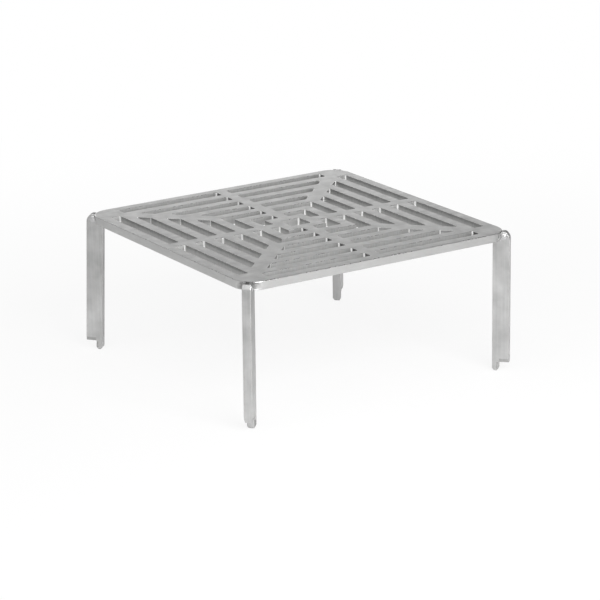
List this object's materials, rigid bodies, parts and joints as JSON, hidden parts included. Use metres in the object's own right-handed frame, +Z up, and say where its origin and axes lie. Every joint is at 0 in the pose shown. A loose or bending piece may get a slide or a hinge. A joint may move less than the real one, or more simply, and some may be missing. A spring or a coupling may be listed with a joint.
{
  "type": "grill grate",
  "caption": "Square slotted steel cooking grate on four flat legs with notched feet; each leg hangs on a pin at a corner and swings outward.",
  "frame": {"origin": "on the ground under the middle of the part's box, 0.7 mm and 2.1 mm off the middle of the plate because two legs stand a little splayed", "axes": "+Z up; +X and +Y along the sides of the square plate; the front leg is at the +X -Y corner, the right leg at +X +Y, the back leg at -X +Y and the left leg at -X -Y"},
  "size_m": [0.3734, 0.3708, 0.1703],
  "materials": {
    "plate_steel": "fine bead-blasted satin on the faces, cut edges brighter",
    "leg_steel": "satin with soft cloudy marks and fine lengthwise rolling lines",
    "pin_steel": "smooth turned satin"
  },
  "bodies": {
    "grate": {"grate_plate": "plate_steel"},
    "front_leg": {"leg_front": "leg_steel", "pin_front": "pin_steel", "cap_front": "pin_steel"},
    "right_leg": {"leg_right": "leg_steel", "pin_right": "pin_steel", "cap_right": "pin_steel"},
    "back_leg": {"leg_back": "leg_steel", "pin_back": "pin_steel", "cap_back": "pin_steel"},
    "left_leg": {"leg_left": "leg_steel", "pin_left": "pin_steel", "cap_left": "pin_steel"}
  },
  "joints": [
    {"name": "front_leg_swing", "type": "hinge", "parent": "grate", "child": "front_leg", "pos_m": [0.17508, -0.17224, 0.16426], "axis": [-0.7071, -0.7071, 0], "range_deg": [-1.5, 78.5]},
    {"name": "right_leg_swing", "type": "hinge", "parent": "grate", "child": "right_leg", "pos_m": [0.17508, 0.17645, 0.16426], "axis": [0.7071, -0.7071, 0], "range_deg": [0, 80]},
    {"name": "back_leg_swing", "type": "hinge", "parent": "grate", "child": "back_leg", "pos_m": [-0.17361, 0.17645, 0.16426], "axis": [0.7071, 0.7071, 0], "range_deg": [0, 80]},
    {"name": "left_leg_swing", "type": "hinge", "parent": "grate", "child": "left_leg", "pos_m": [-0.17361, -0.17224, 0.16426], "axis": [-0.7071, 0.7071, 0], "range_deg": [-2.3, 77.7]}
  ]
}
